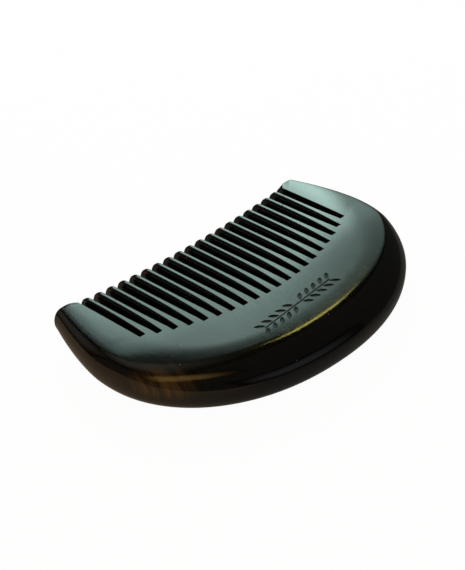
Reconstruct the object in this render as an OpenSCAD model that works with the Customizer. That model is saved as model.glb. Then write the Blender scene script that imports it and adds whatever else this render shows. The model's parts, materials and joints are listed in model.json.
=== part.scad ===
// One-piece beard comb, sawn and carved from a single thick plate of dark horn.
// It lies flat: X runs along the row of teeth, Y points to their tips and Z is up.
// The origin is the middle of the comb's footprint, on the plane that it rests on.
// The comb is one solid body. Its back, its two end guards and each tooth are separate
// nodes that meet face to face, so that every slot between the teeth stays open.

/* [Outline] */
// Length over the widest place
comb_length = 100; // [85:1:120]
// From the widest place to the back edge
back_reach = 38.7; // [31:0.1:46]
// From the widest place to the tips of the end guards
guard_reach = 22.9; // [19:0.1:28]
// How far each side draws in from the widest place to the tips
side_draw_in = 5.2; // [2:0.1:7]
// Curve of the sides, from nearly straight to strongly bowed
side_curve = 1.55; // [1.2:0.05:2.6]
// Curve of the back, where 2 is an ellipse and more is squarer
back_curve = 2.13; // [1.8:0.01:2.8]
// Width of each end guard at its tip
guard_width = 7.1; // [5.9:0.1:9]
// Radius of a guard's outer corner
guard_corner_r = 1.3; // [0.8:0.1:3]

/* [Thickness] */
// Thickness of the back
comb_thickness = 12.8; // [10:0.1:15.5]
// Thickness at the tips
tip_thickness = 7.1; // [5:0.1:8.6]
// From the middle slot's end to where both faces start to taper
taper_start = 4.6; // [0:0.1:9]
// Curve of the taper, where 1 is a straight wedge
taper_curve = 1.15; // [1:0.05:1.8]
// How far the rounded edge reaches in around the back
edge_inset = 5.7; // [4.6:0.1:7]
// How far the rounded edge reaches in at the guards' tips
tip_edge_inset = 3.6; // [2:0.1:5]
// Curve of the rounded edge, where 2 is an ellipse and more is squarer
edge_curve = 2.2; // [1.8:0.05:2.8]

/* [Teeth] */
// Number of teeth
tooth_count = 19; // [13:2:23]
// Width of the saw cut between two teeth
slot_width = 1.84; // [1.4:0.02:2.3]
// From the back edge to the end of the middle slot
spine_depth = 24.7; // [20:0.1:30]
// Radius of the arc on which the slots end
root_arc_r = 71; // [57:1:140]
// Radius of the hollow arc on which the tooth tips lie
tip_arc_r = 300; // [200:5:500]
// Width of a tooth's crest near its tip
crest_width = 0.65; // [0.4:0.05:0.9]
// How quickly the crest narrows from the root
crest_curve = 3; // [1:0.5:4]
// Height of the rounded shoulder beside the crest at the root
root_shoulder = 0.3; // [0.1:0.05:0.6]
// Height of the rounded shoulder beside the crest at the tip
tip_shoulder = 1.6; // [0.8:0.1:2]
// Length of a tooth's rounded nose
nose_length = 3.3; // [2:0.1:4]
// Curve of the nose, where 2 is an ellipse and more is blunter
nose_curve = 2.35; // [1.8:0.05:3]
// Share of its width that a tooth keeps at the very end of its nose
nose_width_share = 0.55; // [0.4:0.05:0.9]

/* [Engraving] */
// Length of the leaf band engraved on the back
band_length = 30; // [20:0.5:34]
// From the middle slot's end to the middle of the band
band_setback = 8.6; // [6:0.1:11]
// Turn of the band against the row of teeth
band_turn = 6; // [0:1:8]
// Number of leaf pairs on each side of the middle
leaf_pairs = 5; // [3:1:6]
// Length of a leaf
leaf_length = 3.1; // [2:0.1:3.4]
// Width of a leaf
leaf_width = 1.25; // [0.8:0.05:1.5]
// Lean of the leaves against the stem
leaf_lean = 42; // [30:1:60]
// Width of the stem
stem_width = 0.4; // [0.3:0.05:0.6]
// Depth of the engraving
band_depth = 0.25; // [0.15:0.05:0.5]

/* [Hidden] */
horn_colour = [0.10, 0.10, 0.09];
half_length = comb_length / 2;
comb_depth = back_reach + guard_reach;
back_y = -comb_depth / 2;
wide_y = back_y + back_reach;
front_y = comb_depth / 2;
mid_root_y = back_y + spine_depth;
taper_y = mid_root_y + taper_start;
mid_z = comb_thickness / 2;
guard_half = half_length - side_draw_in;
row_half = guard_half - guard_width;
tooth_pitch = (2 * row_half - slot_width) / tooth_count;
tooth_width = tooth_pitch - slot_width;
slot_count = tooth_count + 1;
// A tooth's node starts this far past the end of its slots.
root_stub = 0.5;
// Cutting shapes run this far past the solid that they cut.
overrun = 5;
back_steps = 30;
side_steps = 12;
corner_steps = 5;
// The rounded edge keeps this radius around the inner side of a guard's corner.
corner_inner_r = 0.4;
edge_steps = 12;
shoulder_steps = 3;
shank_steps = 7;
nose_steps = 5;
nose_last_angle = 84;
leaf_fn = 96;

function tooth_name(k) = str("tooth_", k < 10 ? "0" : "", k);

// ---- Rules that the whole comb follows ----

function mix(a, b, t) = a + (b - a) * t;
function clamp01(t) = min(1, max(0, t));
// A superellipse quarter: 0 to 90 degrees gives 1 to 0 for rounded(), 0 to 1 for its partner.
function rounded(angle, curve) = pow(abs(cos(angle)), 2 / curve);

// Share of the taper that is reached at y: 0 on the flat back, 1 at the front.
function taper(y) = pow(clamp01((y - taper_y) / (front_y - taper_y)), taper_curve);
function half_thickness(y) = mix(comb_thickness, tip_thickness, taper(y)) / 2;
function edge_reach(y) = mix(edge_inset, tip_edge_inset, taper(y));

function slot_x(i) = (i - (slot_count + 1) / 2) * tooth_pitch;
function tooth_x(k) = (k - (tooth_count + 1) / 2) * tooth_pitch;
// Where the saw stopped at x, and where a tooth at x ends.
function root_y(x) = mid_root_y + root_arc_r - sqrt(pow(root_arc_r, 2) - pow(x, 2));
function arc_rise(x) = tip_arc_r - sqrt(pow(tip_arc_r, 2) - pow(x, 2));
function tip_y(x) = front_y - arc_rise(row_half) + arc_rise(x);
// Where the nodes of the teeth and the guards start.
function tooth_root_y(k) = max(root_y(slot_x(k)), root_y(slot_x(k + 1))) + root_stub;
guard_root_y = root_y(slot_x(1)) + root_stub;

// ---- The blank: the comb's outline with its rounded edge, before it is sawn ----

corner_y = front_y - guard_corner_r;
inner_corner_y = front_y - tip_edge_inset - corner_inner_r;

// Half the comb's length at y, in front of its widest place.
function side_x(y) =
    half_length - side_draw_in * pow(clamp01((y - wide_y) / (corner_y - wide_y)), side_curve);

function back_point(a) = [
    half_length * rounded(90 - a, back_curve),
    wide_y - back_reach * rounded(a, back_curve)
];
// Direction into the comb, square to the back's curve; the step is a small change of angle.
function back_inward(a) =
    let (
        step = back_point(min(a + 1, 90)) - back_point(max(a - 1, 0)),
        along = a == 0 ? [1, 0] : a == 90 ? [0, 1] : step / norm(step)
    )
    [-along[1], along[0]];

// Each entry pairs a point of the outline with the point where the rounded edge ends,
// on the right half, from the middle of the back round to the end of the guard.
back_pairs = [
    for (i = [0 : back_steps])
        let (a = 90 * i / back_steps, p = back_point(a))
        [p, p + edge_reach(p[1]) * back_inward(a)]
];
side_pairs = [
    for (i = [1 : side_steps])
        let (
            y = mix(wide_y, corner_y, i / side_steps),
            inner_y = mix(wide_y, inner_corner_y, i / side_steps)
        )
        [[side_x(y), y], [side_x(inner_y) - edge_reach(inner_y), inner_y]]
];
inner_corner_x = side_pairs[side_steps - 1][1][0] - corner_inner_r;
corner_pairs = [
    for (i = [1 : corner_steps])
        let (a = 90 * i / corner_steps, turn = [cos(a), sin(a)])
        [
            [guard_half - guard_corner_r, corner_y] + guard_corner_r * turn,
            [inner_corner_x, inner_corner_y] + corner_inner_r * turn
        ]
];
outline = concat(back_pairs, side_pairs, corner_pairs);
outline_last = len(outline) - 1;

// A point of the rounded edge: angle -90 is its lower rim, 0 the outline, 90 its upper rim.
function edge_point(i, angle) =
    let (
        p = mix(outline[i][0], outline[i][1], 1 - rounded(angle, edge_curve)),
        lift = half_thickness(p[1]) * rounded(90 - abs(angle), edge_curve)
    )
    [p[0], p[1], mid_z + (angle < 0 ? -lift : lift)];

ring_size = edge_steps + 1;
right_points = [
    for (i = [0 : outline_last])
        for (j = [0 : edge_steps])
            edge_point(i, -90 + 180 * j / edge_steps)
];
// The left half repeats the right one, but for the ring that lies on the middle line.
left_points = [
    for (i = [1 : outline_last])
        for (j = [0 : edge_steps])
            let (p = right_points[i * ring_size + j])
            [-p[0], p[1], p[2]]
];
function right_at(i, j) = i * ring_size + j;
function left_at(i, j) = i == 0 ? j : (outline_last + i) * ring_size + j;

right_faces = [
    for (i = [0 : outline_last - 1])
        for (j = [0 : edge_steps - 1])
            for (f = [
                [right_at(i, j), right_at(i, j + 1), right_at(i + 1, j + 1)],
                [right_at(i, j), right_at(i + 1, j + 1), right_at(i + 1, j)]
            ])
                f
];
left_faces = [
    for (i = [0 : outline_last - 1])
        for (j = [0 : edge_steps - 1])
            for (f = [
                [left_at(i, j), left_at(i + 1, j + 1), left_at(i, j + 1)],
                [left_at(i, j), left_at(i + 1, j), left_at(i + 1, j + 1)]
            ])
                f
];
// The tip side closes straight across, from one guard's end to the other's.
front_faces = [
    for (j = [0 : edge_steps - 1])
        [
            right_at(outline_last, j),
            right_at(outline_last, j + 1),
            left_at(outline_last, j + 1),
            left_at(outline_last, j)
        ]
];
// The two faces are strips between points that mirror each other.
function face_strips(j, up) = [
    for (i = [0 : outline_last - 1])
        let (
            strip = i == 0
                ? [left_at(0, j), right_at(1, j), left_at(1, j)]
                : [left_at(i, j), right_at(i, j), right_at(i + 1, j), left_at(i + 1, j)]
        )
        up ? [for (n = [len(strip) - 1 : -1 : 0]) strip[n]] : strip
];

module blank() {
    polyhedron(
        points = concat(right_points, left_points),
        faces = concat(
            right_faces,
            left_faces,
            front_faces,
            face_strips(0, false),
            face_strips(edge_steps, true)
        ),
        convexity = 4
    );
}

// ---- The back ----

// Everything in front of the back: the slots, and the places of the teeth and the guards.
module front_zone() {
    far_x = half_length + overrun;
    far_y = front_y + overrun;
    steps = [
        for (i = [1 : slot_count])
            for (p = [
                [slot_x(i) - slot_width / 2, i == 1 ? guard_root_y : tooth_root_y(i - 1)],
                [slot_x(i) - slot_width / 2, root_y(slot_x(i))],
                [slot_x(i) + slot_width / 2, root_y(slot_x(i))],
                [slot_x(i) + slot_width / 2, i == slot_count ? guard_root_y : tooth_root_y(i)]
            ])
                p
    ];
    translate([0, 0, -overrun])
        linear_extrude(comb_thickness + 2 * overrun)
            polygon(concat(
                [[far_x, guard_root_y], [far_x, far_y], [-far_x, far_y], [-far_x, guard_root_y]],
                steps
            ));
}

module leaf() {
    // Two equal arcs that meet in a point at both ends.
    arc_r = (pow(leaf_length / 2, 2) + pow(leaf_width / 2, 2)) / leaf_width;
    intersection() {
        translate([leaf_length / 2, arc_r - leaf_width / 2])
            circle(arc_r, $fn = leaf_fn);
        translate([leaf_length / 2, leaf_width / 2 - arc_r])
            circle(arc_r, $fn = leaf_fn);
    }
}

module leaf_band() {
    middle_gap = leaf_length * 0.45;
    leaf_step = (band_length / 2 - middle_gap - leaf_length * cos(leaf_lean)) / (leaf_pairs - 1);
    for (side = [-1, 1])
        scale([side, 1])
            for (n = [0 : leaf_pairs - 1])
                for (up = [-1, 1])
                    translate([middle_gap + n * leaf_step, up * stem_width])
                        rotate(up * leaf_lean)
                            leaf();
    square([band_length - leaf_length, stem_width], center = true);
}

module back() {
    color(horn_colour)
        difference() {
            blank();
            front_zone();
            translate([0, mid_root_y - band_setback, comb_thickness - band_depth])
                rotate(band_turn)
                    linear_extrude(band_depth + overrun)
                        leaf_band();
        }
}

// ---- The end guards ----

module guard(side) {
    color(horn_colour)
        intersection() {
            blank();
            translate([
                side > 0 ? row_half : -row_half - guard_width - side_draw_in - overrun,
                guard_root_y,
                -overrun
            ])
                cube([
                    guard_width + side_draw_in + overrun,
                    front_y - guard_root_y + overrun,
                    comb_thickness + 2 * overrun
                ]);
        }
}

module left_guard() {
    guard(-1);
}

module right_guard() {
    guard(1);
}

// ---- The teeth ----

// Outline of a tooth's section: upright sides with rounded shoulders up to a crest.
function tooth_section(half_width, half_height, crest_half, shoulder, y) =
    let (
        quarter = [
            for (n = [0 : shoulder_steps])
                let (a = 90 * n / shoulder_steps)
                [
                    crest_half + (half_width - crest_half) * cos(a),
                    half_height - shoulder * (1 - sin(a))
                ]
        ],
        last = shoulder_steps
    )
    concat(
        [for (n = [0 : last]) [quarter[n][0], y, mid_z + quarter[n][1]]],
        [for (n = [last : -1 : 0]) [-quarter[n][0], y, mid_z + quarter[n][1]]],
        [for (n = [0 : last]) [-quarter[n][0], y, mid_z - quarter[n][1]]],
        [for (n = [last : -1 : 0]) [quarter[n][0], y, mid_z - quarter[n][1]]]
    );

// Section of a tooth at y: fade is 1 along the shank and falls to 0 over the nose.
function tooth_ring(y, root, tip, fade) =
    let (
        along = clamp01((y - root) / (tip - root)),
        half_width = tooth_width / 2 * mix(nose_width_share, 1, fade),
        half_height = half_thickness(y) * fade,
        crest = mix(crest_width, tooth_width * 0.94, pow(1 - along, crest_curve)),
        shoulder = mix(tip_shoulder, root_shoulder, pow(1 - along, crest_curve))
    )
    tooth_section(
        half_width,
        half_height,
        min(crest / 2, half_width * 0.94),
        min(shoulder, half_height * 0.9),
        y
    );

module tooth(k) {
    root = tooth_root_y(k);
    tip = tip_y(tooth_x(k));
    nose_y = tip - nose_length;
    rings = concat(
        [
            for (n = [0 : shank_steps])
                tooth_ring(mix(root, nose_y, n / shank_steps), root, tip, 1)
        ],
        [
            for (n = [1 : nose_steps])
                let (a = nose_last_angle * n / nose_steps)
                tooth_ring(
                    nose_y + nose_length * rounded(90 - a, nose_curve),
                    root,
                    tip,
                    rounded(a, nose_curve)
                )
        ]
    );
    ring_points = len(rings[0]);
    ring_last = len(rings) - 1;
    color(horn_colour)
        translate([tooth_x(k), 0, 0])
            polyhedron(
                points = [for (r = rings) for (p = r) p],
                faces = concat(
                    [[for (n = [ring_points - 1 : -1 : 0]) n]],
                    [
                        for (r = [0 : ring_last - 1])
                            for (n = [0 : ring_points - 1])
                                let (m = (n + 1) % ring_points)
                                for (f = [
                                    [
                                        r * ring_points + n,
                                        (r + 1) * ring_points + m,
                                        (r + 1) * ring_points + n
                                    ],
                                    [
                                        r * ring_points + n,
                                        r * ring_points + m,
                                        (r + 1) * ring_points + m
                                    ]
                                ])
                                    f
                    ],
                    [[for (n = [0 : ring_points - 1]) ring_last * ring_points + n]]
                ),
                convexity = 2
            );
}

back();
left_guard();
right_guard();
for (k = [1 : tooth_count])
    tooth(k);
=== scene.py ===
# %% [markdown]
# # A one-piece beard comb of polished dark horn
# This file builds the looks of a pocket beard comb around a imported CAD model. The CAD
# model is the frame: it fixes the size, the place and the pitch of the teeth. The comb is
# one piece of horn, so one seamless mesh stands for all of its regions: a plate is shaped,
# sawn and engraved by Geometry Nodes, in the order in which a comb maker works.
# The node tree works in millimetres, and scales the comb to metres near its end.

# %% Load the frame
import json
import math
import bpy
from mathutils import Matrix, Vector

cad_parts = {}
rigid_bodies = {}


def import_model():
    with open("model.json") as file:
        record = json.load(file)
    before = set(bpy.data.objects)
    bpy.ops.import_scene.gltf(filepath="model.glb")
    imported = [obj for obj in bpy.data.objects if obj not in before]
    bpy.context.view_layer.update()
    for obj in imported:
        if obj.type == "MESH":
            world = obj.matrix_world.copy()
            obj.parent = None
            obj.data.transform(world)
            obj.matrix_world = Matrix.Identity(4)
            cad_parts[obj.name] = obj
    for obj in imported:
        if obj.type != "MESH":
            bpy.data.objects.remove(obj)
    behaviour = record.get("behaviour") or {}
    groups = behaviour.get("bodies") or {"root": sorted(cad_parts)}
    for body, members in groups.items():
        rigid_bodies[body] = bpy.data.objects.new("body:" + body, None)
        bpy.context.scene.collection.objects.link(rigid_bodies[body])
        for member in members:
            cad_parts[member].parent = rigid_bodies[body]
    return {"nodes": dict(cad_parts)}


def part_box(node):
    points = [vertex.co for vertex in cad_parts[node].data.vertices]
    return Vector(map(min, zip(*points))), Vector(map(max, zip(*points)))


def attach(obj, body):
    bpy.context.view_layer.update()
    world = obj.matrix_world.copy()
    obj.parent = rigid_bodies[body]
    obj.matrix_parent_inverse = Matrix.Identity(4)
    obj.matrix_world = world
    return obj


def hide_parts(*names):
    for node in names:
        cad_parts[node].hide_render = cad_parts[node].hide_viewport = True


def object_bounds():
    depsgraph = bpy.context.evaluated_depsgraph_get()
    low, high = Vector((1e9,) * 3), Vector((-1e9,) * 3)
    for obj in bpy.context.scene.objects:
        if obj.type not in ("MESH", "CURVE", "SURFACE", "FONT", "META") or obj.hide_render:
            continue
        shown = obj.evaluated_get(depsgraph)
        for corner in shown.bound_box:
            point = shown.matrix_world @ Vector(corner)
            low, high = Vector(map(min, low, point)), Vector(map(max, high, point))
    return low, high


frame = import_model()
cad_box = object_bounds()
MM = 0.001
print("CAD box in mm:", [round(n / MM, 2) for corner in cad_box for n in corner])

# %% [markdown]
# ## Camera
# The camera looks down on the comb from the front left, over its rounded back. A long lens
# keeps the row of teeth nearly parallel. The camera's axes are worked out from an azimuth,
# an elevation and a small roll, and it aims at the end of the middle slot. It comes first,
# because every later choice is judged through it.

# %% Camera
CAMERA_AZIMUTH = math.radians(-43.20)
CAMERA_ELEVATION = math.radians(36.95)
CAMERA_ROLL = math.radians(-1.21)
CAMERA_DISTANCE = 0.4526
CAMERA_SLIDE = Vector((0.01088, -0.00097))
CAMERA_LENS_MM = 109.8
AIM = Vector((0, -0.0061, 0.0128))


def aim_camera():
    flat = math.cos(CAMERA_ELEVATION)
    back = Vector((
        math.sin(CAMERA_AZIMUTH) * flat,
        -math.cos(CAMERA_AZIMUTH) * flat,
        math.sin(CAMERA_ELEVATION),
    ))
    level = Vector((math.cos(CAMERA_AZIMUTH), math.sin(CAMERA_AZIMUTH), 0))
    upright = back.cross(level)
    right = level * math.cos(CAMERA_ROLL) + upright * math.sin(CAMERA_ROLL)
    up = upright * math.cos(CAMERA_ROLL) - level * math.sin(CAMERA_ROLL)
    data = bpy.data.cameras.new("camera")
    data.lens = CAMERA_LENS_MM
    data.sensor_fit = "AUTO"
    data.clip_start = 0.01
    camera = bpy.data.objects.new("camera", data)
    place = AIM + back * CAMERA_DISTANCE - right * CAMERA_SLIDE.x - up * CAMERA_SLIDE.y
    turn = Matrix((right, up, back)).transposed()
    camera.matrix_world = Matrix.Translation(place) @ turn.to_4x4()
    bpy.context.scene.collection.objects.link(camera)
    bpy.context.scene.camera = camera
    return camera


camera = aim_camera()
print("camera at", [round(n, 4) for n in camera.matrix_world.translation])

# %% [markdown]
# ## Sizes
# What the frame can tell is read from it: the overall box, the pitch and width of the teeth
# and the width of the slots. The curves that a box can't tell, such as the roundness of the
# back, are named here once, and every part of the node tree takes them from its inputs.
# Lengths are in millimetres and turns in degrees. Curves and shares are plain numbers.

# %% Sizes read from the frame
low, high = (corner / MM for corner in cad_box)
first_tooth, second_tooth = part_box("tooth_01"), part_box("tooth_02")
left_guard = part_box("left_guard")

SIZES = {
    "half length": (high.x - low.x) / 2,
    "back y": low.y,
    "front y": high.y,
    "thickness": high.z,
    "row half": -left_guard[1].x / MM,
    "tooth pitch": (second_tooth[0].x - first_tooth[0].x) / MM,
    "tooth width": (first_tooth[1].x - first_tooth[0].x) / MM,
    # The outline
    "back reach": 38.7,
    "side draw in": 5.2,
    "side curve": 1.55,
    "back curve": 2.13,
    "guard corner": 1.0,
    # The wedge towards the tips
    "tip thickness": 7.1,
    "taper start": 4.6,
    "taper curve": 1.15,
    "taper blend": 0.16,
    # The rounded edge: how far it reaches in, and its curves, where 2 is an ellipse
    "edge inset": 5.7,
    "tip edge inset": 3.6,
    "upper back inset": 9.3,
    "upper end inset": 3.5,
    "upper tip inset": 2.4,
    "upper front inset": 0.6,
    "upper level": 2.0,
    "upper stop": 10.0,
    "edge curve": 2.05,
    "lower edge curve": 2.4,
    "inner corner": 0.4,
    # The upper face's crown: a share of the half thickness, and how far in it starts
    "crown": 0.19,
    "crown reach": 14.0,
    "tip crown reach": 6.0,
    # The slots and the teeth
    "spine depth": 24.7,
    "root arc": 71.0,
    "tip arc": 300.0,
    "crest width": 0.38,
    "crest curve": 3.3,
    "root shoulder": 0.3,
    "tip shoulder": 1.6,
    "nose length": 3.3,
    "nose curve": 2.35,
    "nose width share": 0.55,
    "slot end round": 0.16,
    "broken edge": 0.14,
    # The engraved band
    "band setback": 8.6,
    "band length": 30.0,
    "band turn": 6.0,
    "leaf length": 3.1,
    "leaf width": 1.25,
    "leaf lean": 42.0,
    "stem width": 0.4,
    "band depth": 0.25,
}
TOOTH_COUNT = sum(name.startswith("tooth_") for name in frame["nodes"])
LEAF_PAIRS = 5
print({name: round(value, 3) for name, value in SIZES.items()}, TOOTH_COUNT, "teeth")

# %% [markdown]
# ## Formulas in a node tree
# The comb's shape follows rules: superellipses, arcs and a taper. Geometry Nodes can hold
# such rules as chains of Math nodes, but wiring hundreds of them by hand is hard to read.
# This small helper lets Python arithmetic write the chains: adding or multiplying two
# `Amount`s adds a Math node to the tree, so the formulas below read as formulas.

# %% Numbers in the tree
class Amount:
    """A number in the node tree. Arithmetic on it adds Math nodes."""

    tree = None

    def __init__(self, socket):
        self.socket = socket

    @classmethod
    def work(cls, operation, *values):
        node = cls.tree.nodes.new("ShaderNodeMath")
        node.operation = operation
        for slot, value in zip(node.inputs, values):
            if isinstance(value, Amount):
                cls.tree.links.new(value.socket, slot)
            else:
                slot.default_value = value
        return cls(node.outputs[0])

    def __add__(self, other):
        return Amount.work("ADD", self, other)

    def __sub__(self, other):
        return Amount.work("SUBTRACT", self, other)

    def __rsub__(self, other):
        return Amount.work("SUBTRACT", other, self)

    def __mul__(self, other):
        return Amount.work("MULTIPLY", self, other)

    def __truediv__(self, other):
        return Amount.work("DIVIDE", self, other)

    def __rtruediv__(self, other):
        return Amount.work("DIVIDE", other, self)

    def __pow__(self, other):
        return Amount.work("POWER", self, other)

    def __lt__(self, other):
        return Amount.work("LESS_THAN", self, other)

    def __gt__(self, other):
        return Amount.work("GREATER_THAN", self, other)

    __radd__ = __add__
    __rmul__ = __mul__


# %% Words for the formulas
RADIANS = math.pi / 180


def sine(degrees):
    return Amount.work("SINE", degrees * RADIANS)


def root_of(value):
    return Amount.work("SQRT", value)


def unsigned(value):
    return Amount.work("ABSOLUTE", value)


def sign_of(value):
    return Amount.work("SIGN", value)


def least(a, b):
    return Amount.work("MINIMUM", a, b)


def most(a, b):
    return Amount.work("MAXIMUM", a, b)


def clamp01(value):
    return least(most(value, 0.0), 1.0)


def mix(a, b, share):
    return a + (b - a) * share


def choose(test, if_true, if_false):
    return mix(if_false, if_true, test)


def rounded(degrees, curve):
    """A superellipse quarter, from 1 at 0 degrees to 0 at 90 degrees."""
    return most(sine(90 - degrees), 0.0) ** (2 / curve)


def steps_of(place, before, count):
    """The share of one stretch that is passed at a place counted in steps."""
    return clamp01((place - before) / count)


# %% [markdown]
# ## The tree and its named inputs
# Each size becomes an input of the tree. A reader can open the tree, see what a number is
# for and try another value, and the formulas never hold a size of their own.

# %% Tree with its named inputs
tree = bpy.data.node_groups.new("comb_from_plate", "GeometryNodeTree")
tree.interface.new_socket("Geometry", in_out="OUTPUT", socket_type="NodeSocketGeometry")
for name in SIZES:
    tree.interface.new_socket(name, in_out="INPUT", socket_type="NodeSocketFloat")
inputs = tree.nodes.new("NodeGroupInput")
Amount.tree = tree
size = {name: Amount(inputs.outputs[name]) for name in SIZES}


def add_node(kind, settings=None, **links):
    """Adds a node. Settings are its options, links its inputs by name."""
    node = tree.nodes.new(kind)
    for key, value in (settings or {}).items():
        setattr(node, key, value)
    for key, value in links.items():
        socket = node.inputs[key.replace("_", " ")]
        if isinstance(value, Amount):
            tree.links.new(value.socket, socket)
        elif isinstance(value, bpy.types.NodeSocket):
            tree.links.new(value, socket)
        else:
            socket.default_value = value
    return node


def point(x, y, z):
    return add_node("ShaderNodeCombineXYZ", X=x, Y=y, Z=z).outputs[0]


def place_of_points():
    """The x, y and z of every point of the mesh that the formulas move."""
    place = add_node("GeometryNodeInputPosition").outputs[0]
    apart = add_node("ShaderNodeSeparateXYZ", Vector=place)
    return [Amount(socket) for socket in apart.outputs]


def joined(*parts):
    join = add_node("GeometryNodeJoinGeometry")
    for part in parts:
        tree.links.new(part, join.inputs[0])
    return join.outputs[0]


print("tree has", len(SIZES), "named sizes")

# %% [markdown]
# ## Rules that the whole comb follows
# A horn comb starts as a thick plate. Its faces run flat over the back and then taper
# towards the tips, its slots end on one arc and its tips lie on another, hollow one.
# Each rule is written once, and the plate, the saw cuts and the engraving all use it.

# %% Shared rules
mid_z = size["thickness"] / 2
wide_y = size["back y"] + size["back reach"]
mid_root_y = size["back y"] + size["spine depth"]
taper_y = mid_root_y + size["taper start"]
guard_half = size["half length"] - size["side draw in"]
corner_y = size["front y"] - size["guard corner"]


def taper(y):
    """The wedge's share at y. The blend rounds off the line where the flat face ends."""
    share = (y - taper_y) / (size["front y"] - taper_y)
    blend = size["taper blend"]
    share = (share + root_of(share * share + blend * blend)) / 2
    return least(share, 1.0) ** size["taper curve"]


def half_thickness(y):
    return mix(size["thickness"], size["tip thickness"], taper(y)) / 2


def edge_reach(y):
    return mix(size["edge inset"], size["tip edge inset"], taper(y))


def share_past_wide(y):
    """0 up to the widest place of the comb, 1 at its front."""
    return clamp01((y - wide_y) / (size["front y"] - wide_y))


def upper_reach(y):
    """The upper edge is rounded far in at the back and only a little at the two ends."""
    start, stop = size["back y"] + size["upper level"], wide_y - size["upper stop"]
    to_end = clamp01((y - start) / (stop - start))
    to_tip = share_past_wide(y)
    at_end = mix(size["upper back inset"], size["upper end inset"], to_end)
    return at_end - (size["upper end inset"] - size["upper tip inset"]) * to_tip


def arc_rise(x, radius):
    return radius - root_of(radius * radius - x * x)


def root_y(x):
    return mid_root_y + arc_rise(x, size["root arc"])


def tip_y(x):
    reach = least(unsigned(x), size["row half"])
    at_row_end = arc_rise(size["row half"], size["tip arc"])
    return size["front y"] - at_row_end + arc_rise(reach, size["tip arc"])


def side_x(y):
    passed = clamp01((y - wide_y) / (corner_y - wide_y))
    return size["half length"] - size["side draw in"] * passed ** size["side curve"]


print("shared rules add", len(tree.nodes), "nodes")

# %% [markdown]
# ## The plate
# A grid is bent round the comb as if it were a polar map: one direction runs round the
# outline, the other from the middle of the underside, over the rounded edge, to the middle
# of the upper face. This gives even rings on the rounded edge, where the highlights run,
# and needs no modelling by hand. The upper edge is rounded much further in than the lower
# one, and the upper face falls by a fraction of a millimetre towards it, as sanding leaves
# it. So this surface lies up to 1.6 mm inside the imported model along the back's upper edge.
# Merging the doubled points closes the seam and the middles.

# %% Steps of the grid
BACK_STEPS, SIDE_STEPS, CORNER_STEPS, GUARD_STEPS, ROW_STEPS = 68, 24, 8, 5, 40
CORNER_FROM = BACK_STEPS + SIDE_STEPS
GUARD_FROM = CORNER_FROM + CORNER_STEPS
ROW_FROM = GUARD_FROM + GUARD_STEPS
HALF_ROUND = ROW_FROM + ROW_STEPS
EDGE_STEPS, FACE_STEPS = 22, 34
HALF_OVER = EDGE_STEPS + FACE_STEPS
print("plate: a grid of", 2 * HALF_ROUND, "by", 2 * HALF_OVER, "cells")

# %% Outline of the plate
GUARD_SWEEP = 4
on_top = place_of_points()[1] > 0.0


def inset(y):
    return choose(on_top, upper_reach(y), edge_reach(y))


def outline_point(walk):
    """The outline's point and the inner end of its rounded edge, on the right half."""
    curve = size["back curve"]
    tip_inset = choose(on_top, size["upper front inset"], size["tip edge inset"])
    turn_y = size["front y"] - tip_inset - size["inner corner"]
    angle = 90 * steps_of(walk, 0, BACK_STEPS)
    across, along = rounded(90 - angle, curve), rounded(angle, curve)
    back_x, back_y = size["half length"] * across, wide_y - size["back reach"] * along
    lean_x = across ** (curve - 1) / size["half length"]
    lean_y = along ** (curve - 1) / size["back reach"]
    reach = inset(back_y) / root_of(lean_x * lean_x + lean_y * lean_y)
    back = (back_x, back_y, back_x - reach * lean_x, back_y + reach * lean_y)

    passed = steps_of(walk, BACK_STEPS, SIDE_STEPS)
    side_y, in_y = mix(wide_y, corner_y, passed), mix(wide_y, turn_y, passed)
    side = (side_x(side_y), side_y, side_x(in_y) - inset(in_y), in_y)

    angle = 90 * steps_of(walk, CORNER_FROM, CORNER_STEPS)
    sideways, forwards = sine(90 - angle), sine(angle)
    in_x = side_x(turn_y) - inset(turn_y) - size["inner corner"]
    corner = (
        guard_half - size["guard corner"] + size["guard corner"] * sideways,
        corner_y + size["guard corner"] * forwards,
        in_x + size["inner corner"] * sideways,
        turn_y + size["inner corner"] * forwards,
    )

    front_share = steps_of(walk, GUARD_FROM, GUARD_STEPS)
    end_inset = mix(tip_inset, size["nose length"], front_share ** GUARD_SWEEP)
    guard_end = (
        mix(guard_half - size["guard corner"], size["row half"], front_share),
        size["front y"],
        mix(in_x, size["row half"], front_share),
        size["front y"] - end_inset,
    )

    row_x = size["row half"] * (1 - steps_of(walk, ROW_FROM, ROW_STEPS))
    found = (row_x, tip_y(row_x), row_x, tip_y(row_x) - size["nose length"])
    ends = (ROW_FROM, GUARD_FROM, CORNER_FROM, BACK_STEPS)
    for end, stretch in zip(ends, (guard_end, corner, side, back)):
        nearer = walk < end
        found = [choose(nearer, a, b) for a, b in zip(stretch, found)]
    return found, front_share


print("outline in 5 stretches, from the middle of the back to the middle of the row")

# %% Plate from a bent grid
FACE_MIDDLE_Y = -8.0
MERGE_WITHIN = 0.0005


def crowned(from_outline, out_y, front_share):
    """The share of the height that the crown leaves at a distance from the outline."""
    reach = mix(size["crown reach"], size["tip crown reach"], share_past_wide(out_y))
    fall = clamp01(1 - from_outline / reach) * (1 - front_share)
    return 1 - size["crown"] * reach / size["crown reach"] * on_top * fall ** 2


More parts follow.
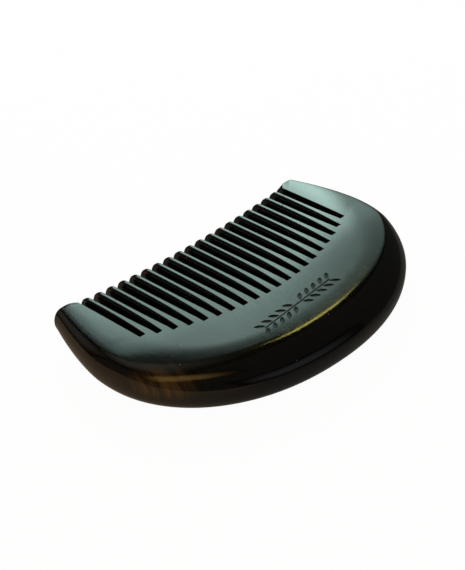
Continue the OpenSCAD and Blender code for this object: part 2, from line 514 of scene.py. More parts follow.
def plate():
    grid = add_node(
        "GeometryNodeMeshGrid",
        Size_X=1.0,
        Size_Y=1.0,
        Vertices_X=2 * HALF_ROUND + 1,
        Vertices_Y=2 * HALF_OVER + 1,
    )
    around, over, _ = place_of_points()
    walk = unsigned(around) * 2 * HALF_ROUND
    climb = unsigned(over) * 2 * HALF_OVER
    (out_x, out_y, in_x, in_y), front_share = outline_point(walk)

    angle = 90 * steps_of(climb, 0, EDGE_STEPS)
    to_middle = steps_of(climb, EDGE_STEPS, FACE_STEPS)
    edge_curve = choose(on_top, size["edge curve"], size["lower edge curve"])
    curve = mix(edge_curve, size["nose curve"], front_share)
    inward = 1 - rounded(angle, curve)
    edge_x, edge_y = mix(out_x, in_x, inward), mix(out_y, in_y, inward)
    x, y = mix(edge_x, 0.0, to_middle), mix(edge_y, FACE_MIDDLE_Y, to_middle)

    off_x, off_y = x - out_x, y - out_y
    crown = crowned(root_of(off_x * off_x + off_y * off_y), out_y, front_share)
    lift = half_thickness(y) * rounded(90 - angle, curve) * crown
    bent = add_node(
        "GeometryNodeSetPosition",
        Geometry=grid.outputs["Mesh"],
        Position=point(x * sign_of(around), y, mid_z + lift * sign_of(over)),
    )
    closed = add_node(
        "GeometryNodeMergeByDistance", Geometry=bent.outputs[0], Distance=MERGE_WITHIN
    )
    return closed.outputs[0]


plate_mesh = plate()
print("the tree has", len(tree.nodes), "nodes with the plate")

# %% [markdown]
# ## The saw cuts
# A comb maker saws the slots one by one and then files each tooth: its shoulders are
# rounded, most of all near the tip, and its nose is drawn thinner. What the saw and the
# file take away is one closed shape for each slot. A subdivided block is instanced along
# the row, and a formula gives every point of it its place between the two teeth it parts.

# %% Blocks in a row
SHANK_STEPS, NOSE_STEPS, PAST_STEPS = 30, 10, 1
WALL_STEPS, SHOULDER_STEPS, ABOVE_STEPS = 2, 12, 1
LONG_STEPS = SHANK_STEPS + NOSE_STEPS + PAST_STEPS
TALL_STEPS = WALL_STEPS + SHOULDER_STEPS + ABOVE_STEPS


def row_of_blocks():
    block = add_node(
        "GeometryNodeMeshCube",
        Size=(1.0, 1.0, 1.0),
        Vertices_X=2,
        Vertices_Y=LONG_STEPS + 1,
        Vertices_Z=2 * TALL_STEPS + 1,
    )
    row = add_node(
        "GeometryNodeMeshLine",
        Count=TOOTH_COUNT + 1,
        Start_Location=point(size["tooth pitch"] * (-TOOTH_COUNT / 2), 0.0, 0.0),
        Offset=point(size["tooth pitch"], 0.0, 0.0),
    )
    blocks = add_node(
        "GeometryNodeInstanceOnPoints",
        Points=row.outputs["Mesh"],
        Instance=block.outputs["Mesh"],
    )
    return add_node("GeometryNodeRealizeInstances", Geometry=blocks.outputs[0]).outputs[0]


blocks_mesh = row_of_blocks()
print("saw cuts:", TOOTH_COUNT + 1, "blocks of", LONG_STEPS, "by", 2 * TALL_STEPS, "cells")

# %% Blocks shaped by the saw and the file
ROOT_STUB, PAST, FACE_STEP, NARROWEST = 0.5, 2.0, 0.02, 0.94
SHANK_CROWDING, LEAST_HEIGHT, SHOULDER_SHARE = 1.6, 0.04, 0.9


def along_slot(station, start, tip):
    """The shank, the tooth's nose and a stretch past the tip. Steps crowd near the root."""
    nose_y = tip - size["nose length"]
    nose_angle = 90 * steps_of(station, SHANK_STEPS, NOSE_STEPS)
    y = (
        start
        + (nose_y - start) * steps_of(station, 0, SHANK_STEPS) ** SHANK_CROWDING
        + size["nose length"] * rounded(90 - nose_angle, size["nose curve"])
        + (size["front y"] + PAST - tip) * steps_of(station, SHANK_STEPS + NOSE_STEPS, PAST_STEPS)
    )
    return y, rounded(nose_angle, size["nose curve"])


def tooth_section(y, fade, fresh, on_guard):
    """The tooth's half width, half crest, height and shoulder. A guard has plain edges."""
    half_width = size["tooth width"] / 2 * mix(size["nose width share"], 1.0, fade)
    crest = mix(size["crest width"], size["tooth width"] * NARROWEST, fresh) / 2
    crest = least(crest, half_width * NARROWEST)
    crest = choose(on_guard, half_width - size["broken edge"], crest)
    height = most(half_thickness(y) * fade, LEAST_HEIGHT)
    shoulder = mix(size["tip shoulder"], size["root shoulder"], fresh)
    shoulder = choose(on_guard, size["broken edge"], shoulder)
    return half_width, crest, height, least(shoulder, height * SHOULDER_SHARE)


def saw_cuts():
    pitch = size["tooth pitch"]
    at_x, at_y, at_z = place_of_points()
    slot_x = (Amount.work("FLOOR", at_x / pitch) + 0.5) * pitch
    side = sign_of(at_x - slot_x)
    tooth_x = slot_x + side * pitch / 2
    on_guard = unsigned(tooth_x) > size["row half"]

    start = root_y(slot_x)
    tip = tip_y(tooth_x - side * size["crest width"] / 2)
    y, fade = along_slot((at_y + 0.5) * LONG_STEPS, start, tip)
    fade = choose(on_guard, 1.0, fade)
    tooth_start = root_y(unsigned(tooth_x) + pitch / 2) + ROOT_STUB
    fresh = (1 - clamp01((y - tooth_start) / (tip - tooth_start))) ** size["crest curve"]
    half_width, crest, height, shoulder = tooth_section(y, fade, fresh, on_guard)

    # Up the wall: upright, over the shoulder, then straight up past the face.
    climb = unsigned(at_z) * 2 * TALL_STEPS
    bend = 90 * steps_of(climb, WALL_STEPS, SHOULDER_STEPS)
    over = steps_of(climb, WALL_STEPS + SHOULDER_STEPS, ABOVE_STEPS)
    z = (
        (height - shoulder) * steps_of(climb, 0, WALL_STEPS)
        + (shoulder + FACE_STEP) * sine(bend)
        + (mid_z + PAST - height) * over
    )
    gap = pitch / 2 - (crest + (half_width - crest) * sine(90 - bend))

    # The saw leaves the slot's end a little rounded, and its edge is broken too.
    end_round = size["slot end round"]
    inside = 1 - clamp01((y - start) / end_round)
    gap = gap - end_round * (1 - root_of(most(1 - inside * inside, 0.0)))
    y = y - size["broken edge"] * (1 - sine(90 - bend)) * inside
    shaped = add_node(
        "GeometryNodeSetPosition",
        Geometry=blocks_mesh,
        Position=point(slot_x + side * gap, y, mid_z + z * sign_of(at_z)),
    )
    return shaped.outputs[0]


cuts_mesh = saw_cuts()
print("the tree has", len(tree.nodes), "nodes with the saw cuts")

# %% [markdown]
# ## The engraved leaf band
# The back carries a small band of leaves on a stem, pressed in a quarter of a millimetre.
# A leaf is a thin block whose sides are pulled into two arcs that meet in a point. The same
# leaf is instanced for every place along the stem, mirrored by its turn, and the whole
# band is then turned a few degrees against the row.

# %% One leaf and the stem
LEAF_STEPS = 12
BAND_GAP_SHARE = 0.45
POINT_WIDTH = 0.02


def pressed_z(at_z):
    """From the floor of the groove to well above the face."""
    return (at_z + 0.5) * (size["band depth"] + PAST) - size["band depth"]


def leaf():
    """A block whose sides are two arcs. Its stalk's end is at the origin."""
    block = add_node(
        "GeometryNodeMeshCube",
        Size=(1.0, 1.0, 1.0),
        Vertices_X=LEAF_STEPS + 1,
        Vertices_Y=2,
        Vertices_Z=2,
    )
    at_x, at_y, at_z = place_of_points()
    half, wide = size["leaf length"] / 2, size["leaf width"]
    radius = (half * half + wide * wide / 4) / wide
    x = at_x * size["leaf length"]
    belly = most(root_of(radius * radius - x * x) - radius + wide / 2, POINT_WIDTH)
    shaped = add_node(
        "GeometryNodeSetPosition",
        Geometry=block.outputs["Mesh"],
        Position=point(x + half, sign_of(at_y) * belly, pressed_z(at_z)),
    )
    return shaped.outputs[0]


def stem():
    block = add_node("GeometryNodeMeshCube", Size=(1.0, 1.0, 1.0))
    at_x, at_y, at_z = place_of_points()
    length = size["band length"] - size["leaf length"]
    shaped = add_node(
        "GeometryNodeSetPosition",
        Geometry=block.outputs["Mesh"],
        Position=point(at_x * length, at_y * size["stem width"], pressed_z(at_z)),
    )
    return shaped.outputs[0]


leaf_mesh, stem_mesh = leaf(), stem()
print("a leaf has", LEAF_STEPS, "steps along each side")

# %% Leaves along the stem
def leaf_band():
    """Leaves come in fours: above and below the stem, on its left and on its right."""
    places = add_node("GeometryNodeMeshLine", Count=4 * LEAF_PAIRS, Offset=(1.0, 0.0, 0.0))
    index = Amount(add_node("GeometryNodeInputIndex").outputs[0])
    pair = Amount.work("FLOOR", index / 4)
    quarter = index - pair * 4
    side = sign_of(quarter - 1.5)
    up = 1 - 2 * Amount.work("MODULO", quarter, 2)
    gap = size["leaf length"] * BAND_GAP_SHARE
    lean = size["leaf lean"]
    pace = (size["band length"] / 2 - gap - size["leaf length"] * sine(90 - lean)) / (LEAF_PAIRS - 1)
    spread = add_node(
        "GeometryNodeSetPosition",
        Geometry=places.outputs["Mesh"],
        Position=point(side * (gap + pair * pace), up * size["stem width"], 0.0),
    )
    turn = choose(side > 0.0, up * lean, 180 - up * lean)
    leaves = add_node(
        "GeometryNodeInstanceOnPoints",
        Points=spread.outputs[0],
        Instance=leaf_mesh,
        Rotation=point(0.0, 0.0, turn * RADIANS),
    )
    turned = add_node(
        "GeometryNodeTransform",
        Geometry=joined(leaves.outputs[0], stem_mesh),
        Translation=point(0.0, mid_root_y - size["band setback"], size["thickness"]),
        Rotation=point(0.0, 0.0, size["band turn"] * RADIANS),
    )
    return add_node("GeometryNodeRealizeInstances", Geometry=turned.outputs[0]).outputs[0]


band_mesh = leaf_band()
print("leaf band:", 4 * LEAF_PAIRS, "leaves and a stem")

# %% [markdown]
# ## Sawing, engraving and smoothing
# One boolean takes the saw cuts and the band out of the plate. Specks that hang free after
# the cut are swept away, as a maker would, by counting the points of each loose island. The
# faces are then shaded smooth, but an edge that turns by more than a set angle stays crisp:
# the arrises at the roots of the teeth, the inner edges of the guards and the engraving.

# %% Cut and cleaned comb
SMALLEST_PIECE = 500


def cut_comb():
    sawn = add_node("GeometryNodeMeshBoolean", {"operation": "DIFFERENCE", "solver": "MANIFOLD"})
    tree.links.new(plate_mesh, sawn.inputs["Mesh 1"])
    tree.links.new(joined(cuts_mesh, band_mesh), sawn.inputs["Mesh 2"])
    island = add_node("GeometryNodeInputMeshIsland").outputs["Island Index"]
    counted = add_node(
        "GeometryNodeAccumulateField", {"data_type": "FLOAT"}, Value=1.0, Group_ID=island
    )
    clean = add_node(
        "GeometryNodeDeleteGeometry",
        {"domain": "POINT"},
        Geometry=sawn.outputs["Mesh"],
        Selection=Amount(counted.outputs["Total"]) < SMALLEST_PIECE,
    )
    return clean.outputs[0]


clean_mesh = cut_comb()
print("islands under", SMALLEST_PIECE, "points are swept away")

# %% Smooth faces and crisp edges
CRISP_ANGLE = math.radians(17.5)


def smoothed(geometry):
    smooth = add_node("GeometryNodeSetShadeSmooth", {"domain": "FACE"}, Geometry=geometry)
    angle = Amount(add_node("GeometryNodeInputMeshEdgeAngle").outputs["Unsigned Angle"])
    crisp = add_node(
        "GeometryNodeSetShadeSmooth",
        {"domain": "EDGE"},
        Geometry=smooth.outputs[0],
        Shade_Smooth=angle < CRISP_ANGLE,
    )
    return crisp.outputs[0]


smooth_mesh = smoothed(clean_mesh)
print("edges over", round(math.degrees(CRISP_ANGLE), 1), "degrees stay crisp")

# %% [markdown]
# ## Two finishes on one piece
# The buffing wheel never reaches the floor of a pressed groove, so the engraved faces get a
# material of their own. They are found by place: within the band and below the face. The
# tree scales the comb to metres first, and ends by making every instance real and handing
# out the two materials, because an export drops what is still an instance.

# %% End of the tree
polished_horn = bpy.data.materials.new("polished_horn")
engraved_horn = bpy.data.materials.new("engraved_horn")
BAND_MARGIN, BAND_HALF_HEIGHT, GROOVE_SHARE = 1.0, 4.3, 0.45


def in_band():
    """True for the engraved faces. The comb is in metres by now, so its places are divided."""
    x, y, z = [place / MM for place in place_of_points()]
    return (
        (unsigned(x) < size["band length"] / 2 + BAND_MARGIN)
        * (unsigned(y - mid_root_y + size["band setback"]) < BAND_HALF_HEIGHT)
        * (z < size["thickness"] - size["band depth"] * GROOVE_SHARE)
        * (z > mid_z)
    )


def dress(geometry):
    metres = add_node("GeometryNodeTransform", Geometry=geometry, Scale=(MM, MM, MM))
    whole = add_node("GeometryNodeRealizeInstances", Geometry=metres.outputs[0])
    dressed = add_node(
        "GeometryNodeSetMaterial", Geometry=whole.outputs[0], Material=polished_horn
    )
    marked = add_node(
        "GeometryNodeSetMaterial",
        Geometry=dressed.outputs[0],
        Material=engraved_horn,
        Selection=in_band(),
    )
    return marked.outputs[0]


outlet = tree.nodes.new("NodeGroupOutput")
tree.links.new(dress(smooth_mesh), outlet.inputs[0])
print("node tree has", len(tree.nodes), "nodes")

# %% [markdown]
# ## From tree to plain mesh
# The tree runs as a modifier on an empty object, with every size set by its socket's
# identifier. The result is copied out as a plain mesh and the carrier is thrown away, so
# that the comb has no live modifier left.

# %% Plain mesh from the tree
def drop_empty_slots(mesh):
    """The cutting shapes had no material, so the boolean leaves an empty first slot."""
    slots = [face.material_index for face in mesh.polygons]
    empty = sum(material is None for material in mesh.materials)
    for _ in range(empty):
        mesh.materials.pop(index=0)
    mesh.polygons.foreach_set("material_index", [slot - empty for slot in slots])


def mesh_from_tree(name, group, values):
    """Runs a node tree on an empty object and keeps the result as a plain mesh."""
    carrier = bpy.data.objects.new("carrier", bpy.data.meshes.new("carrier"))
    bpy.context.scene.collection.objects.link(carrier)
    modifier = carrier.modifiers.new("tree", "NODES")
    modifier.node_group = group
    for item in group.interface.items_tree:
        if item.item_type == "SOCKET" and item.in_out == "INPUT":
            modifier[item.identifier] = float(values[item.name])
    carrier.update_tag()
    graph = bpy.context.evaluated_depsgraph_get()
    mesh = bpy.data.meshes.new_from_object(carrier.evaluated_get(graph))
    bpy.data.objects.remove(carrier)
    mesh.name = name
    drop_empty_slots(mesh)
    piece = bpy.data.objects.new(name, mesh)
    bpy.context.scene.collection.objects.link(piece)
    return piece


comb = mesh_from_tree("comb", tree, SIZES)
comb.data.calc_loop_triangles()
comb_box = comb.bound_box[0], comb.bound_box[6]
print("comb:", len(comb.data.vertices), "points,", len(comb.data.loop_triangles), "triangles")
print("comb box in mm:", [round(n / MM, 2) for corner in comb_box for n in corner])
print("materials:", [material.name for material in comb.data.materials])

# %% [markdown]
# ## The comb takes the frame's place
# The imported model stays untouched, and only its looks are hidden. The one seamless mesh
# stands for the back, both guards and every tooth, and it moves with the comb's only body.

# %% Stand in for the frame
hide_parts(*frame["nodes"])
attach(comb, "root")
print("the comb stands in for", len(frame["nodes"]), "nodes")

# %% [markdown]
# ## Shared surface effects
# Three effects are shader node groups with sizes of their own. Horn grows in layers, so its
# streaks are thin across the comb and long along the teeth. Sanding and buffing leave fine
# lines that change the gloss a little. Both finishes use these two, each with its own
# sizes. A few dust specks settle on any dark polished thing. The groups only put out masks
# and values, and each finish decides what they do. They read Object coordinates, so they
# stay fixed on the comb.

# %% Helpers for shader nodes
def feed(owner, socket, value):
    """Links an input to the socket that feeds it, or gives it a fixed value."""
    if isinstance(value, bpy.types.NodeSocket):
        owner.links.new(value, socket)
    else:
        socket.default_value = value


def put(owner, kind, settings=None, inputs=None):
    """Adds a shader node with its options, and feeds its inputs by name or by number."""
    node = owner.nodes.new(kind)
    for key, value in (settings or {}).items():
        setattr(node, key, value)
    for key, value in (inputs or {}).items():
        feed(owner, node.inputs[key], value)
    return node


def maths(owner, operation, a, b=0.0):
    return put(owner, "ShaderNodeMath", {"operation": operation}, {0: a, 1: b}).outputs[0]


def ramp(owner, value, start, end, low=0.0, high=1.0):
    """A smooth step from low to high while the value goes from start to end."""
    reach = {"From Min": start, "From Max": end, "To Min": low, "To Max": high}
    settings = {"interpolation_type": "SMOOTHSTEP"}
    return put(owner, "ShaderNodeMapRange", settings, {"Value": value, **reach}).outputs["Result"]


# %% Helpers for patterns
def comb_place(owner):
    return put(owner, "ShaderNodeTexCoord").outputs["Object"]


def scaled_place(owner, scales, shift=(0, 0, 0)):
    """Object coordinates times three scales, which are sockets or numbers per metre."""
    scale = put(owner, "ShaderNodeCombineXYZ", inputs=dict(zip("XYZ", scales))).outputs[0]
    inputs = {"Vector": comb_place(owner), "Location": shift, "Scale": scale}
    return put(owner, "ShaderNodeMapping", inputs=inputs).outputs[0]


def noise(owner, place, scale=1.0, detail=2.0, roughness=0.5):
    inputs = {"Vector": place, "Scale": scale, "Detail": detail, "Roughness": roughness}
    return put(owner, "ShaderNodeTexNoise", inputs=inputs).outputs["Fac"]


def shader_group(name, sizes, outputs):
    """A group with named inputs and outputs. Its inputs come back as a list of sockets."""
    group = bpy.data.node_groups.new(name, "ShaderNodeTree")
    for label, value in sizes.items():
        socket = group.interface.new_socket(label, in_out="INPUT", socket_type="NodeSocketFloat")
        socket.default_value = value
    for label in outputs:
        group.interface.new_socket(label, in_out="OUTPUT", socket_type="NodeSocketFloat")
    given = list(group.nodes.new("NodeGroupInput").outputs)[: len(sizes)]
    return group, given, group.nodes.new("NodeGroupOutput").inputs


# %% Streaks of the horn's layers
STREAK_RANGE, CLOUD_RANGE = (0.36, 0.66), (0.42, 0.72)
CLOUD_SCALES, CLOUD_SHIFT = (95.0, 40.0, 60.0), (3.1, 0.4, 1.7)


def build_layers():
    sizes = {"Across": 950.0, "Along": 45.0, "Through": 70.0}
    group, given, result = shader_group("horn_layers", sizes, ("Streaks", "Clouds"))
    fine = noise(group, scaled_place(group, given), detail=5.0, roughness=0.62)
    slow = noise(group, scaled_place(group, CLOUD_SCALES, CLOUD_SHIFT))
    feed(group, result["Streaks"], ramp(group, fine, *STREAK_RANGE))
    feed(group, result["Clouds"], ramp(group, slow, *CLOUD_RANGE))
    return group


layers = build_layers()
print("group", layers.name, "has", len(layers.nodes), "nodes")

# %% Fine lines from sanding and buffing
LINE_RANGE, HAZE_RANGE = (0.70, 1.30), (0.35, 0.70)
THROUGH_SCALE, HAZE_SCALE = 900.0, 130.0
SPECKLE_SCALES, SPECKLE_SHIFT = (2600.0, 1500.0, 2600.0), (5.0, 2.0, 0.0)


def build_buffing():
    sizes = {"Across": 3200.0, "Along": 110.0}
    group, given, result = shader_group("buffing_lines", sizes, ("Lines", "Haze"))
    lines = noise(group, scaled_place(group, (*given, THROUGH_SCALE)), detail=3.0, roughness=0.7)
    speckle = noise(group, scaled_place(group, SPECKLE_SCALES, SPECKLE_SHIFT))
    haze = noise(group, comb_place(group), HAZE_SCALE, detail=3.0)
    feed(group, result["Lines"], ramp(group, maths(group, "ADD", lines, speckle), *LINE_RANGE))
    feed(group, result["Haze"], ramp(group, haze, *HAZE_RANGE))
    return group


buffing = build_buffing()
print("group", buffing.name, "has", len(buffing.nodes), "nodes")

# %% Specks of dust
def build_dust():
    """One speck at the middle of some of a pattern's cells."""
    sizes = {"Spacing": 420.0, "Size": 0.045, "Share": 0.22}
    group, (spacing, speck, share), result = shader_group("dust_specks", sizes, ("Dust",))
    inputs = {"Vector": comb_place(group), "Scale": spacing}
    cells = put(group, "ShaderNodeTexVoronoi", inputs=inputs)
    pick = put(group, "ShaderNodeSeparateColor", inputs={"Color": cells.outputs["Color"]})
    near = maths(group, "LESS_THAN", cells.outputs["Distance"], speck)
    chosen = maths(group, "LESS_THAN", pick.outputs[0], share)
    feed(group, result["Dust"], maths(group, "MULTIPLY", near, chosen))
    return group


dust = build_dust()
print("group", dust.name, "has", len(dust.nodes), "nodes")

# %% [markdown]
# ## Polished horn
# Dark horn is nearly black, but thin places and some layers let warm brown through, most
# of all on the rounded edge near the left end. The flat faces are sanded to a satin and
# the rounded edge is polished, so the roughness follows how far the surface leans away
# from the faces. The fibres show as slight streaks in both colour and gloss.

# %% Colours of polished horn
BLACK_HORN = (0.0085, 0.0078, 0.0060, 1)
BROWN_HORN = (0.190, 0.105, 0.032, 1)
DUST_COLOUR = (0.62, 0.60, 0.50, 1)
STREAK_FLOOR, CLOUD_SHARE, MASK_CORE = 0.22, 0.05, 0.15
# Each place has its middle, its reach and its strength. Middle and reach are in millimetres.
BROWN_PLACES = (
    ((-44.5, -10.5, 8.7), (13.5, 11.0, 5.2), 1.00),
    ((-48.0, 9.0, 6.5), (5.0, 20.0, 6.0), 0.40),
    ((38.0, 14.0, 3.0), (12.0, 14.0, 5.0), 0.45),
    ((12.0, -30.0, 5.0), (14.0, 5.0, 5.0), 0.25),
)


def vector_maths(owner, operation, a, b=(0, 0, 0)):
    return put(owner, "ShaderNodeVectorMath", {"operation": operation}, {0: a, 1: b}).outputs


def near_place(owner, middle, reach, strength):
    """A soft round mask that is strongest at the middle and gone at the reach."""
    off = vector_maths(owner, "SUBTRACT", comb_place(owner), [n * MM for n in middle])[0]
    share = vector_maths(owner, "DIVIDE", off, [n * MM for n in reach])[0]
    far = vector_maths(owner, "LENGTH", share)["Value"]
    return ramp(owner, far, MASK_CORE, 1.0, strength, 0.0)


def blended(owner, share, first, second):
    """Mixes two colours. The Mix node keeps colours in inputs 6 and 7 and in output 2."""
    inputs = {0: share, 6: first, 7: second}
    return put(owner, "ShaderNodeMix", {"data_type": "RGBA"}, inputs).outputs[2]


def horn_colour(nodes, fibres, specks):
    brown = near_place(nodes, *BROWN_PLACES[0])
    for place in BROWN_PLACES[1:]:
        brown = maths(nodes, "MAXIMUM", brown, near_place(nodes, *place))
    streaky = ramp(nodes, fibres.outputs["Streaks"], 0.0, 1.0, STREAK_FLOOR, 1.0)
    brown = maths(nodes, "MULTIPLY", brown, streaky)
    faint = maths(nodes, "MULTIPLY", fibres.outputs["Clouds"], fibres.outputs["Streaks"])
    brown = maths(nodes, "ADD", brown, maths(nodes, "MULTIPLY", faint, CLOUD_SHARE))
    clean = blended(nodes, brown, BLACK_HORN, BROWN_HORN)
    return blended(nodes, specks.outputs["Dust"], clean, DUST_COLOUR)


print("brown shows in", len(BROWN_PLACES), "places")

# %% Polished horn
HORN_IOR = 1.54
SATIN_ROUGHNESS, POLISHED_ROUGHNESS = 0.17, 0.08
SATIN_RANGE = (0.9945, 0.9983)
GRAIN_GLOSS, HAZE_GLOSS, DUST_GLOSS = (-0.040, 0.040), (-0.008, 0.016), 0.5
LINE_RELIEF = {"Strength": 0.20, "Distance": 0.00002}


def horn_roughness(nodes, lines, specks):
    """Satin where the surface faces straight up or down, polished where it leans away."""
    facing = put(nodes, "ShaderNodeTexCoord").outputs["Normal"]
    facing_z = put(nodes, "ShaderNodeSeparateXYZ", inputs={0: facing}).outputs["Z"]
    upright = maths(nodes, "ABSOLUTE", facing_z)
    roughness = ramp(nodes, upright, *SATIN_RANGE, POLISHED_ROUGHNESS, SATIN_ROUGHNESS)
    grain = ramp(nodes, lines.outputs["Lines"], 0.0, 1.0, *GRAIN_GLOSS)
    haze = ramp(nodes, lines.outputs["Haze"], 0.0, 1.0, *HAZE_GLOSS)
    dull = maths(nodes, "MULTIPLY", specks.outputs["Dust"], DUST_GLOSS)
    roughness = maths(nodes, "ADD", roughness, maths(nodes, "ADD", grain, haze))
    return maths(nodes, "ADD", roughness, dull)


def finish_polished(material):
    material.use_nodes = True
    nodes = material.node_tree
    shader = nodes.nodes["Principled BSDF"]
    shader.inputs["IOR"].default_value = HORN_IOR
    fibres = put(nodes, "ShaderNodeGroup", {"node_tree": layers})
    lines = put(nodes, "ShaderNodeGroup", {"node_tree": buffing})
    specks = put(nodes, "ShaderNodeGroup", {"node_tree": dust})
    feed(nodes, shader.inputs["Base Color"], horn_colour(nodes, fibres, specks))
    feed(nodes, shader.inputs["Roughness"], horn_roughness(nodes, lines, specks))
    relief = {**LINE_RELIEF, "Height": lines.outputs["Lines"]}
    bump = put(nodes, "ShaderNodeBump", inputs=relief)
    feed(nodes, shader.inputs["Normal"], bump.outputs[0])


finish_polished(polished_horn)
print("polished horn:", len(polished_horn.node_tree.nodes), "nodes")

# %% [markdown]
# ## Engraved horn
# The grooves of the leaf band were pressed or burnt in, so the buffing wheel never reached
# their floors. They are a browner grey and much rougher, which is what makes the band read
# as dark lines in the sheen of the face.

# %% Engraved horn
ENGRAVED_DARK = (0.010, 0.009, 0.007, 1)
ENGRAVED_PALE = (0.034, 0.031, 0.023, 1)
GROOVE_IOR = 1.45
GROOVE_ROUGHNESS = (0.42, 0.62)
GROOVE_RELIEF = {"Strength": 0.4, "Distance": 0.00008}
GROOVE_FIBRES, GROOVE_LINES = {"Across": 1500.0, "Along": 300.0}, {"Along": 1400.0}


def finish_engraved(material):
    material.use_nodes = True
    nodes = material.node_tree
    shader = nodes.nodes["Principled BSDF"]
    shader.inputs["IOR"].default_value = GROOVE_IOR
    fibres = put(nodes, "ShaderNodeGroup", {"node_tree": layers}, GROOVE_FIBRES)
    lines = put(nodes, "ShaderNodeGroup", {"node_tree": buffing}, GROOVE_LINES)
    colour = blended(nodes, fibres.outputs["Streaks"], ENGRAVED_DARK, ENGRAVED_PALE)
    feed(nodes, shader.inputs["Base Color"], colour)
    roughness = ramp(nodes, lines.outputs["Lines"], 0.0, 1.0, *GROOVE_ROUGHNESS)
    feed(nodes, shader.inputs["Roughness"], roughness)
    relief = {**GROOVE_RELIEF, "Height": lines.outputs["Lines"]}
    bump = put(nodes, "ShaderNodeBump", inputs=relief)
    feed(nodes, shader.inputs["Normal"], bump.outputs[0])


finish_engraved(engraved_horn)
print("engraved horn:", len(engraved_horn.node_tree.nodes), "nodes")

# %% [markdown]
# ## Floor and surroundings
# The comb lies on a plain pale floor. A dark polished thing shows what surrounds it rather
# than its own colour, so the surroundings are kept dim for reflections while the camera
# sees them pale: a Light Path node tells the two kinds of ray apart. The floor's reflection
# is warmer on the comb's left, where the brown of the horn shows.

# %% Helpers for floor, room and light
WHITE = (1.0, 1.0, 1.0, 1)


def bare_nodes(block):
    """A material's or a world's node tree, emptied for a build of its own."""
    block.use_nodes = True
    block.node_tree.nodes.clear()
    return block.node_tree


def flat_sheet(name, material_name, half_width, half_height, build):
    """A rectangle round the origin. The build function gives its material's shader."""
    mesh = bpy.data.meshes.new(name)
    signs = ((-1, -1), (1, -1), (1, 1), (-1, 1))
    corners = [(x * half_width, y * half_height, 0) for x, y in signs]
    mesh.from_pydata(corners, [], [(0, 1, 2, 3)])
    material = bpy.data.materials.new(material_name)
    nodes = bare_nodes(material)
    put(nodes, "ShaderNodeOutputMaterial", inputs={0: build(nodes)})
    mesh.materials.append(material)
    sheet = bpy.data.objects.new(name, mesh)
    bpy.context.scene.collection.objects.link(sheet)
    return sheet


def by_ray(nodes, seen, mirrored):
    """One shader for the camera's own rays and another one for every other ray."""
    ray = put(nodes, "ShaderNodeLightPath").outputs["Is Camera Ray"]
    return put(nodes, "ShaderNodeMixShader", inputs={0: ray, 1: mirrored, 2: seen}).outputs[0]


print("helpers ready for the floor, the room and the lights")


# %% Floor
FLOOR_HALF = 3.0
PAPER = (0.85, 0.85, 0.85, 1)
GLOW_STRENGTH, GLOW_SHARE = 1.08, 0.90
FLOOR_COOL_SIDE, FLOOR_WARM_SIDE = (0.130, 0.123, 0.108, 1), (0.33, 0.245, 0.155, 1)
WARM_UP_TO_X, COOL_FROM_X = -0.065, -0.015


def floor_paint(nodes):
    paper = put(nodes, "ShaderNodeBsdfDiffuse", inputs={"Color": PAPER}).outputs[0]
    bright = {"Color": WHITE, "Strength": GLOW_STRENGTH}
    glow = put(nodes, "ShaderNodeEmission", inputs=bright).outputs[0]
    lit = put(nodes, "ShaderNodeMixShader", inputs={0: GLOW_SHARE, 1: paper, 2: glow}).outputs[0]
    place = put(nodes, "ShaderNodeSeparateXYZ", inputs={0: comb_place(nodes)})
    warm = ramp(nodes, place.outputs["X"], WARM_UP_TO_X, COOL_FROM_X, 1.0, 0.0)
    tone = blended(nodes, warm, FLOOR_COOL_SIDE, FLOOR_WARM_SIDE)
    dim = put(nodes, "ShaderNodeEmission", inputs={"Color": tone}).outputs[0]
    return by_ray(nodes, lit, dim)


floor = flat_sheet("floor", "floor_paint", FLOOR_HALF, FLOOR_HALF, floor_paint)
print("floor:", 2 * FLOOR_HALF, "m square")

# %% Room
ROOM_SEEN_IN_HORN = (0.050, 0.049, 0.046, 1)


def dim_room():
    world = bpy.data.worlds.new("room")
    bpy.context.scene.world = world
    nodes = bare_nodes(world)
    pale = put(nodes, "ShaderNodeBackground", inputs={"Color": WHITE}).outputs[0]
    dim = put(nodes, "ShaderNodeBackground", inputs={"Color": ROOM_SEEN_IN_HORN}).outputs[0]
    put(nodes, "ShaderNodeOutputWorld", inputs={0: by_ray(nodes, pale, dim)})
    return world


print("surroundings:", dim_room().name)

# %% [markdown]
# ## Lights
# A polished dark thing is drawn by what it mirrors, so every light but one is a glowing
# sheet with soft borders. The large, cool window sheet stands behind the comb, where the
# flat face mirrors it to the camera: that is the satin sheen. Its light follows one profile
# across and one upwards, so the sheen fades towards the rounded edge and the ends. A thin
# yellow strip beside and above it draws the line along the upper edge. The long warm sheet
# stands above the camera and draws the amber line at the left. Three dim sheets, one high,
# one low and one on the side of the comb's back, keep a little shape in the dark parts.

# %% Places and profiles of lights
def facing_comb(azimuth, elevation, distance):
    """A place and turn that look at the comb. Azimuth 0 is +Y and 90 is +X."""
    a, e = math.radians(azimuth), math.radians(elevation)
    away = Vector((math.sin(a) * math.cos(e), math.cos(a) * math.cos(e), math.sin(e)))
    turn = away.to_track_quat("Z", "Y").to_matrix().to_4x4()
    return Matrix.Translation(away * distance) @ turn


def profile(owner, socket, half, stops):
    """A soft curve through stops of (place in metres, level), over a sheet's width or height."""
    share = put(owner, "ShaderNodeMapRange", inputs={0: socket, 1: -half, 2: half})
    curve = put(owner, "ShaderNodeValToRGB", inputs={0: share.outputs[0]})
    curve.color_ramp.interpolation = "EASE"
    elements = curve.color_ramp.elements
    places = [place / half / 2 + 0.5 for place, _ in stops]
    for place in places[1:-1]:
        elements.new(place)
    for element, place, (_, level) in zip(elements, places, stops):
        element.position = place
        element.color = (level, level, level, 1)
    return curve.outputs[0]


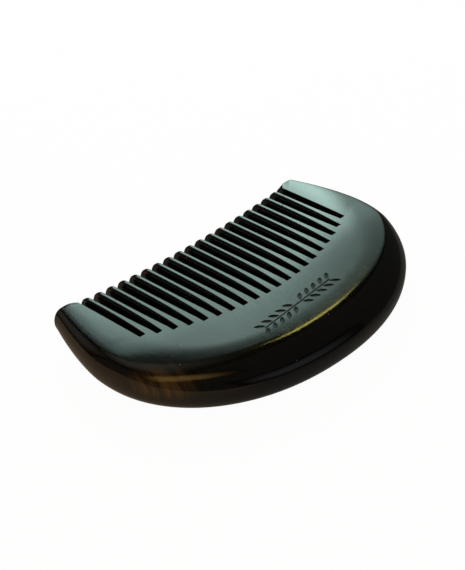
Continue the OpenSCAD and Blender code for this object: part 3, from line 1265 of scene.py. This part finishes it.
# %% Glowing sheets
def graded_softbox(name, place, span, colour, strength, across, upwards, roll=0, lean=0.0):
    """A glowing sheet whose light follows one profile across it and one upwards.

    The place is (azimuth, elevation, distance) and the span is (width, height). A lean
    slides the profile across more and more with height.
    """
    def cloth(nodes):
        apart = put(nodes, "ShaderNodeSeparateXYZ", inputs={0: comb_place(nodes)}).outputs
        slid = maths(nodes, "ADD", apart["X"], maths(nodes, "MULTIPLY", apart["Y"], lean))
        fade = profile(nodes, apart["Y"], span[1] / 2, upwards)
        aside = profile(nodes, slid, span[0] / 2, across)
        level = maths(nodes, "MULTIPLY", maths(nodes, "MULTIPLY", fade, aside), strength)
        inputs = {"Color": (*colour, 1), "Strength": level}
        return put(nodes, "ShaderNodeEmission", inputs=inputs).outputs[0]

    sheet = flat_sheet(name, name + "_cloth", span[0] / 2, span[1] / 2, cloth)
    turn = Matrix.Rotation(math.radians(roll), 4, "Z") @ Matrix.Rotation(math.pi, 4, "Y")
    sheet.matrix_world = facing_comb(*place) @ turn
    sheet.visible_camera = False


SOFT_CORE = 0.2


def soft_sheet(name, place, span, colour, strength, roll=0):
    """A dim sheet that fades evenly towards all its edges."""
    shape = ((-1.0, 0.0), (-SOFT_CORE, 1.0), (SOFT_CORE, 1.0), (1.0, 0.0))
    across, upwards = [[(n * side / 2, level) for n, level in shape] for side in span]
    graded_softbox(name, place, span, colour, strength, across, upwards, roll)


def panel(name, place, span, colour, radiance):
    data = bpy.data.lights.new(name, "AREA")
    data.shape = "RECTANGLE"
    data.size, data.size_y = span
    data.energy = radiance * math.pi * span[0] * span[1]
    data.color = colour
    light = bpy.data.objects.new(name, data)
    light.matrix_world = facing_comb(*place)
    bpy.context.scene.collection.objects.link(light)


# %% The window sheet
WINDOW_ACROSS = (
    (-0.135, 0.0), (-0.037, 0.60), (0.085, 0.66), (0.18, 1.0),
    (0.25, 0.29), (0.385, 0.18), (0.50, 0.0),
)
WINDOW_UPWARDS = (
    (-0.50, 0.40), (-0.17, 0.70), (-0.06, 1.0), (0.02, 1.0), (0.09, 0.80),
    (0.15, 0.80), (0.245, 0.42), (0.355, 0.05), (0.50, 0.02),
)
WINDOW_COLOUR, WINDOW_STRENGTH, WINDOW_LEAN = (0.70, 1.00, 0.93), 5.8, 0.2
graded_softbox(
    "window_sheet", (33, 26, 0.9), (1.0, 1.0), WINDOW_COLOUR, WINDOW_STRENGTH,
    WINDOW_ACROSS, WINDOW_UPWARDS, lean=WINDOW_LEAN,
)
print("window sheet:", len(WINDOW_ACROSS), "stops across,", len(WINDOW_UPWARDS), "upwards")

# %% The yellow strip and the dim sheets
panel("edge_strip", (57.4, 48.3, 0.9), (0.046, 0.145), (1.0, 0.90, 0.22), 6.0)
soft_sheet("warm_sheet", (-122, 52, 0.8), (1.15, 0.28), (1.0, 0.62, 0.20), 1.3, roll=54)
soft_sheet("high_sheet", (-28, 66, 0.9), (1.5, 1.0), (1.0, 0.93, 0.80), 0.36)
soft_sheet("back_sheet", (165, 24, 0.9), (1.1, 0.6), (0.88, 1.0, 1.0), 0.24)
soft_sheet("low_sheet", (-15, 24, 0.9), (1.1, 0.8), (1.0, 0.92, 0.78), 0.22)
sheets = [thing.name for thing in bpy.data.objects if thing.name.endswith("_sheet")]
print("lights: edge_strip and", sorted(sheets))

# %% [markdown]
# ## Colours on screen
# The Standard transform shows each colour as it was worked out. A filmic one would grey
# both the black of the horn and the white of the floor.

# %% Plain display of colours
bpy.context.scene.view_settings.view_transform = "Standard"
print("view transform:", bpy.context.scene.view_settings.view_transform)
